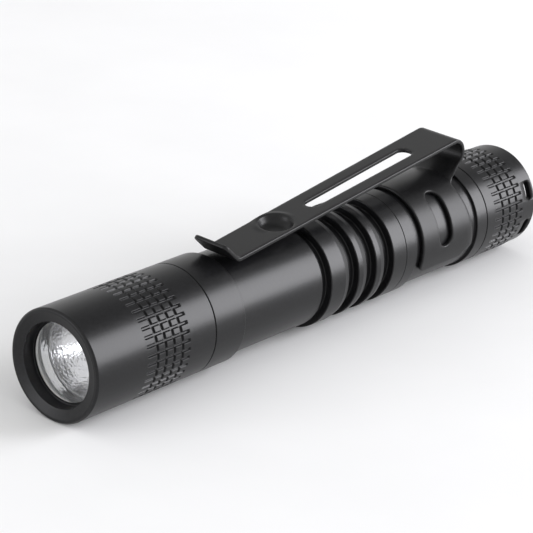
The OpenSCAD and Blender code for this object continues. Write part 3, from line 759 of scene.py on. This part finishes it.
# Finishes: the darkest and lightest colour of each, its smoothest and roughest spot, and what else it has
FINISHES = {
    "anodised_black": dict(
        low=(0.005, 0.005, 0.0055), high=(0.008, 0.008, 0.0088), rough=(0.28, 0.36), specular=0.3,
    ),
    "clip_steel": dict(
        low=(0.005, 0.005, 0.0053), high=(0.008, 0.008, 0.0085), rough=(0.34, 0.42), bump=0.05, specular=0.29,
    ),
    "reflector_silver": dict(
        low=(0.93, 0.93, 0.94), high=(0.97, 0.97, 0.98), rough=(0.06, 0.14), metallic=0.85, bump=0.05,
    ),
    "seal_rubber": dict(low=(0.012, 0.012, 0.012), high=(0.025, 0.024, 0.024), rough=(0.55, 0.75), bump=0.2),
    "button_rubber": dict(low=(0.012, 0.012, 0.012), high=(0.024, 0.024, 0.025), rough=(0.55, 0.7), bump=0.25),
    "led_ceramic": dict(low=(0.70, 0.69, 0.66), high=(0.80, 0.79, 0.76), rough=(0.4, 0.55)),
    "led_silicone": dict(low=(0.80, 0.58, 0.08), high=(0.90, 0.70, 0.16), rough=(0.1, 0.2), bump=0.02),
    "white_insulator": dict(low=(0.70, 0.70, 0.69), high=(0.78, 0.78, 0.77), rough=(0.45, 0.6)),
    "board_core": dict(low=(0.62, 0.63, 0.64), high=(0.74, 0.75, 0.76), rough=(0.3, 0.45), metallic=1.0),
    "brass": dict(low=(0.60, 0.42, 0.16), high=(0.74, 0.53, 0.22), rough=(0.22, 0.36), metallic=1.0),
    "wire": dict(low=(0.45, 0.02, 0.015), high=(0.58, 0.04, 0.03), rough=(0.4, 0.5)),
    "circuit_board": dict(low=(0.01, 0.10, 0.03), high=(0.02, 0.15, 0.05), rough=(0.35, 0.5), scale=1200.0),
    "chip_black": dict(low=(0.015, 0.015, 0.016), high=(0.03, 0.03, 0.032), rough=(0.4, 0.6)),
    "spring_plated": dict(low=(0.70, 0.55, 0.28), high=(0.82, 0.67, 0.38), rough=(0.15, 0.28), metallic=1.0),
    "cell_wrap": dict(low=(0.05, 0.09, 0.16), high=(0.07, 0.12, 0.20), rough=(0.25, 0.35), bump=0.03),
    "cell_contact": dict(low=(0.66, 0.66, 0.65), high=(0.78, 0.78, 0.77), rough=(0.18, 0.32), metallic=1.0),
    "switch_black": dict(low=(0.014, 0.014, 0.015), high=(0.024, 0.024, 0.026), rough=(0.4, 0.55)),
}
FLOOR_FINISH = dict(
    low=(0.84, 0.84, 0.84), high=(0.86, 0.86, 0.86), rough=(0.8, 0.9), scale=40.0, bump=0.0, specular=0.0,
)
# Lens: its faint dust, its mirroring, and the ground edge, which begins and is full this far inside its rim
DUST_SCALE = 1500.0
DUST_TINTS = ((0.98, 0.985, 0.99), (1.0, 1.0, 1.0))
LENS_MIRROR_ROUGH = 0.03
LENS_COATED_IOR = 1.3
GROUND_COLOUR = (0.82, 0.83, 0.84, 1)
GROUND_BAND = (0.16, 0.1)


def new_material(name):
    """A material with its node tree and its shader."""
    material = bpy.data.materials.new(name)
    material.use_nodes = True
    return material, material.node_tree, material.node_tree.nodes["Principled BSDF"]


def add_node(tree, kind, **values):
    """A new node with the given settings."""
    node = tree.nodes.new(kind)
    for key, value in values.items():
        setattr(node, key, value)
    return node


def noise_at(tree, scale, detail):
    """Noise in the piece's own metres."""
    coord = add_node(tree, "ShaderNodeTexCoord")
    texture = add_node(tree, "ShaderNodeTexNoise")
    texture.inputs["Scale"].default_value = scale
    texture.inputs["Detail"].default_value = detail
    tree.links.new(coord.outputs["Object"], texture.inputs["Vector"])
    return texture


def ramp(tree, source, low, high, start=0.35, end=0.65):
    """Colours from low to high over the middle of the noise's range."""
    node = add_node(tree, "ShaderNodeValToRGB")
    node.color_ramp.elements[0].position = start
    node.color_ramp.elements[1].position = end
    node.color_ramp.elements[0].color = (*low, 1)
    node.color_ramp.elements[1].color = (*high, 1)
    tree.links.new(source, node.inputs["Fac"])
    return node


def finish(name, low, high, rough, metallic=0.0, scale=2500.0, grain=9000.0, bump=0.1, specular=0.5, depth=2e-5):
    """A finish whose colour, roughness and surface all vary a little."""
    material, tree, shader = new_material(name)
    shader.inputs["Metallic"].default_value = metallic
    shader.inputs["Specular IOR Level"].default_value = specular
    tone = noise_at(tree, scale, 3.0)
    colour = ramp(tree, tone.outputs["Fac"], low, high)
    tree.links.new(colour.outputs["Color"], shader.inputs["Base Color"])
    spread = add_node(tree, "ShaderNodeMapRange")
    spread.inputs["To Min"].default_value = rough[0]
    spread.inputs["To Max"].default_value = rough[1]
    tree.links.new(tone.outputs["Fac"], spread.inputs["Value"])
    tree.links.new(spread.outputs["Result"], shader.inputs["Roughness"])
    surface = noise_at(tree, grain, 2.0)
    lift = add_node(tree, "ShaderNodeBump")
    lift.inputs["Strength"].default_value = bump
    lift.inputs["Distance"].default_value = depth
    tree.links.new(surface.outputs["Fac"], lift.inputs["Height"])
    tree.links.new(lift.outputs["Normal"], shader.inputs["Normal"])
    return material


def clear_lens(name):
    """Clear coated glass with a ground edge: light goes straight through, and it mirrors a little more at a slant."""
    material, tree, shader = new_material(name)
    tree.nodes.remove(shader)
    dust = noise_at(tree, DUST_SCALE, 4.0)
    tint = ramp(tree, dust.outputs["Fac"], *DUST_TINTS)
    through = add_node(tree, "ShaderNodeBsdfTransparent")
    tree.links.new(tint.outputs["Color"], through.inputs["Color"])
    mirror = add_node(tree, "ShaderNodeBsdfGlossy")
    mirror.inputs["Roughness"].default_value = LENS_MIRROR_ROUGH
    fresnel = add_node(tree, "ShaderNodeFresnel")
    fresnel.inputs["IOR"].default_value = LENS_COATED_IOR
    clear = add_node(tree, "ShaderNodeMixShader")
    tree.links.new(fresnel.outputs["Fac"], clear.inputs["Fac"])
    tree.links.new(through.outputs["BSDF"], clear.inputs[1])
    tree.links.new(mirror.outputs["BSDF"], clear.inputs[2])
    ground = add_node(tree, "ShaderNodeBsdfDiffuse")
    ground.inputs["Color"].default_value = GROUND_COLOUR
    coord = add_node(tree, "ShaderNodeTexCoord")
    from_axis = add_node(tree, "ShaderNodeVectorMath", operation="MULTIPLY_ADD")
    from_axis.inputs[1].default_value = (0.0, 1.0, 1.0)
    from_axis.inputs[2].default_value = (0.0, 0.0, -STOCK_R * MM)
    tree.links.new(coord.outputs["Object"], from_axis.inputs[0])
    away = add_node(tree, "ShaderNodeVectorMath", operation="LENGTH")
    tree.links.new(from_axis.outputs["Vector"], away.inputs[0])
    at_edge = add_node(tree, "ShaderNodeMapRange")
    at_edge.inputs["From Min"].default_value = (LENS_R - GROUND_BAND[0]) * MM
    at_edge.inputs["From Max"].default_value = (LENS_R - GROUND_BAND[1]) * MM
    tree.links.new(away.outputs["Value"], at_edge.inputs["Value"])
    whole = add_node(tree, "ShaderNodeMixShader")
    tree.links.new(at_edge.outputs["Result"], whole.inputs["Fac"])
    tree.links.new(clear.outputs["Shader"], whole.inputs[1])
    tree.links.new(ground.outputs["BSDF"], whole.inputs[2])
    tree.links.new(whole.outputs["Shader"], tree.nodes["Material Output"].inputs["Surface"])
    return material


materials = {name: finish(name, **values) for name, values in FINISHES.items()}
materials["lens_glass"] = clear_lens("lens_glass")


def dress(piece, slot_name):
    """Gives a new piece its finish."""
    piece.data.materials.clear()
    piece.data.materials.append(materials[slot_name])


for piece, slot_name, carrier, node_name in (
    (head, "anodised_black", "head", "head_shell"),
    (body, "anodised_black", "tube", "body_tube"),
    (sleeve, "anodised_black", "tube", "rear_sleeve"),
    (tail, "anodised_black", "tail", "tail_cap"),
    (lens, "lens_glass", "head", "lens"),
    (reflector, "reflector_silver", "head", "reflector"),
    (button_cap, "button_rubber", "button", "tail_button"),
):
    dress(piece, slot_name)
    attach(piece, carrier)
    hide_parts(node_name)

# The clip is one piece in place of the band and the arm, left where it is built and not attached to a body.
dress(clip, "clip_steel")
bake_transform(clip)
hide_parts("clip_band", "clip_arm")

INNER_SLOTS = {
    "lens_gasket": "white_insulator", "led_spacer": "white_insulator", "led_package": "led_ceramic",
    "led_dome": "led_silicone", "led_board": "board_core", "pill": "brass", "led_wires": "wire",
    "driver_board": "circuit_board", "driver_parts": "chip_black", "driver_spring": "spring_plated",
    "front_o_ring": "seal_rubber", "rear_o_ring": "seal_rubber", "cell_can": "cell_wrap",
    "cell_cap": "cell_contact", "cell_seal": "white_insulator", "switch_ring": "brass",
    "switch_housing": "switch_black", "switch_board": "circuit_board", "tail_spring": "spring_plated",
    "switch_plunger": "white_insulator",
}
for node_name, slot_name in INNER_SLOTS.items():
    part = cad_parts[node_name]
    for holder in part.material_slots:
        holder.material = materials[slot_name]

# Floor, lamps and sky, in metres. A lamp is (place, what it faces, size, radiance).
FLOOR_HALF = 3.0
FLOOR_CORNERS = ((-1, -1), (1, -1), (1, 1), (-1, 1))
LAMP_COLOUR = (0.96, 0.96, 1.0)
STRIP_ANGLE = math.radians(60)
STRIP_AWAY = 0.5
STRIP_PLACE = (-STRIP_AWAY, STRIP_AWAY * math.sin(STRIP_ANGLE), STRIP_AWAY * math.cos(STRIP_ANGLE))
LAMPS = {
    "strip": (STRIP_PLACE, (0, 0, 0), (0.46, 0.46), 8.8),
    "front": ((0.72, -0.30, 0.13), (0.04, 0, 0.007), (0.5, 0.3), 5.0),
}
# The sky is bright in front of the light and along the horizon, and darker above and behind it. Its strength falls
# as (height minus this share of the way forward) goes from the first limit to the second.
SKY_FORWARD = 0.8
SKY_LIMITS = (0.846, 1.29)
SKY_STRENGTHS = (0.9, 0.33)
SKY_COLOUR = (1.0, 1.0, 1.0, 1.0)

floor_mesh = bpy.data.meshes.new("floor")
floor_mesh.from_pydata([(x * FLOOR_HALF, y * FLOOR_HALF, 0) for x, y in FLOOR_CORNERS], [], [(0, 1, 2, 3)])
floor_mesh.materials.append(finish("floor_white", **FLOOR_FINISH))
floor = add_object("floor", floor_mesh)


def area_light(name, place, target, size, radiance):
    """A lamp with its long side along the light, turned to face its target."""
    data = bpy.data.lights.new(name, "AREA")
    data.shape = "RECTANGLE"
    data.color = LAMP_COLOUR
    data.size, data.size_y = size
    data.energy = radiance * math.pi * size[0] * size[1]
    lamp = add_object(name, data)
    away = (Vector(place) - Vector(target)).normalized()
    right = Vector((1, 0, 0)) - away * away.x
    right.normalize()
    lamp.matrix_world = Matrix((right, away.cross(right), away)).transposed().to_4x4()
    lamp.matrix_world.translation = Vector(place)


for name, values in LAMPS.items():
    area_light(name, *values)

world = bpy.data.worlds.new("studio")
bpy.context.scene.world = world
world.use_nodes = True
sky = world.node_tree
coord = add_node(sky, "ShaderNodeTexCoord")
parts = add_node(sky, "ShaderNodeSeparateXYZ")
sky.links.new(coord.outputs["Generated"], parts.inputs["Vector"])
backwards = add_node(sky, "ShaderNodeMath", operation="MULTIPLY_ADD")
backwards.inputs[1].default_value = -SKY_FORWARD
sky.links.new(parts.outputs["X"], backwards.inputs[0])
sky.links.new(parts.outputs["Z"], backwards.inputs[2])
fade = add_node(sky, "ShaderNodeMapRange")
fade.inputs["From Min"].default_value, fade.inputs["From Max"].default_value = SKY_LIMITS
fade.inputs["To Min"].default_value, fade.inputs["To Max"].default_value = SKY_STRENGTHS
sky.links.new(backwards.outputs["Value"], fade.inputs["Value"])
sky.nodes["Background"].inputs["Color"].default_value = SKY_COLOUR
sky.links.new(fade.outputs["Result"], sky.nodes["Background"].inputs["Strength"])

# Camera, solved from the rims and seams in the picture. In its own frame, x right, y down and z forward in
# millimetres, it has the middle of the front rim, the way from there to the tail, and the roll of the part about it.
FOCAL_PX = 2600.0
IMAGE_PX = 533.0
SENSOR = 36.0
NEAR = 0.01
FRONT_CENTRE = np.array([-25.263, 11.890, 308.742])
AXIS = np.array([0.65020, -0.25182, 0.71682])
ROLL = math.radians(18)
PICTURE_UP = np.array([0.0, -1.0, 0.0])

axis = AXIS / np.linalg.norm(AXIS)
level = PICTURE_UP - (PICTURE_UP @ axis) * axis
level = level / np.linalg.norm(level)
aside = np.cross(axis, level)
part_axes = np.array([
    -axis, math.cos(ROLL) * aside - math.sin(ROLL) * level, math.cos(ROLL) * level + math.sin(ROLL) * aside,
])
camera_data = bpy.data.cameras.new("camera")
camera_data.sensor_fit = "HORIZONTAL"
camera_data.sensor_width = SENSOR
camera_data.lens = FOCAL_PX / IMAGE_PX * SENSOR
camera_data.clip_start = NEAR
camera = add_object("camera", camera_data)
turned = np.stack([part_axes[:, 0], -part_axes[:, 1], -part_axes[:, 2]], axis=1)
camera.matrix_world = Matrix(turned.tolist()).to_4x4()
camera.matrix_world.translation = Vector(
    (np.array([LENGTH / 2, 0, STOCK_R]) - part_axes @ FRONT_CENTRE) * MM
)
bpy.context.scene.camera = camera
bpy.context.scene.view_settings.view_transform = "Standard"
